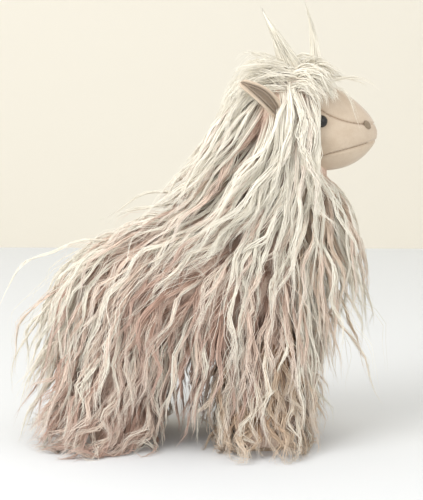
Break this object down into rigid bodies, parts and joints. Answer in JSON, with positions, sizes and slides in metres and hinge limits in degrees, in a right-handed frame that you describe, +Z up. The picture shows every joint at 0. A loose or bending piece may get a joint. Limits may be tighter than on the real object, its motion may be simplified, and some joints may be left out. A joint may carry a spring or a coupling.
{
  "type": "plush llama",
  "caption": "Standing plush llama toy with a long shaggy coat, short-pile face, bead eyes, folded ears and short stump legs",
  "frame": {"origin": "middle of the box's underside, in the plane of the soles", "axes": "+X from the rump to the muzzle, +Y to the llama's left side, +Z up from the soles to the crown"},
  "size_m": [0.2578, 0.149, 0.3222],
  "materials": {
    "long_pile": "long shaggy pile",
    "short_pile": "short pile, matte",
    "ear_lining": "short pile, matte",
    "black_bead": "polished",
    "satin_thread": "satin stitch",
    "washer_plastic": "as moulded",
    "polyester_fibre": "loose fibre",
    "bead_bag_cloth": "woven, matte",
    "sole_felt": "felt, matte"
  },
  "bodies": {
    "root": {"coat": "long_pile", "nose_bridge": "short_pile", "cheek_right": "short_pile", "cheek_left": "short_pile", "chin": "short_pile", "ear_shell_right": "short_pile", "ear_shell_left": "short_pile", "ear_lining_right": "ear_lining", "ear_lining_left": "ear_lining", "eye_right": "black_bead", "eye_left": "black_bead", "nostril_right": "satin_thread", "nostril_left": "satin_thread", "eye_washer_right": "washer_plastic", "eye_washer_left": "washer_plastic", "head_filling": "polyester_fibre", "neck_filling": "polyester_fibre", "torso_filling": "polyester_fibre", "leg_filling_front_right": "polyester_fibre", "leg_filling_front_left": "polyester_fibre", "leg_filling_rear_right": "polyester_fibre", "leg_filling_rear_left": "polyester_fibre", "bead_bag": "bead_bag_cloth", "sole_front_right": "sole_felt", "sole_front_left": "sole_felt", "sole_rear_right": "sole_felt", "sole_rear_left": "sole_felt"}
  },
  "joints": []
}
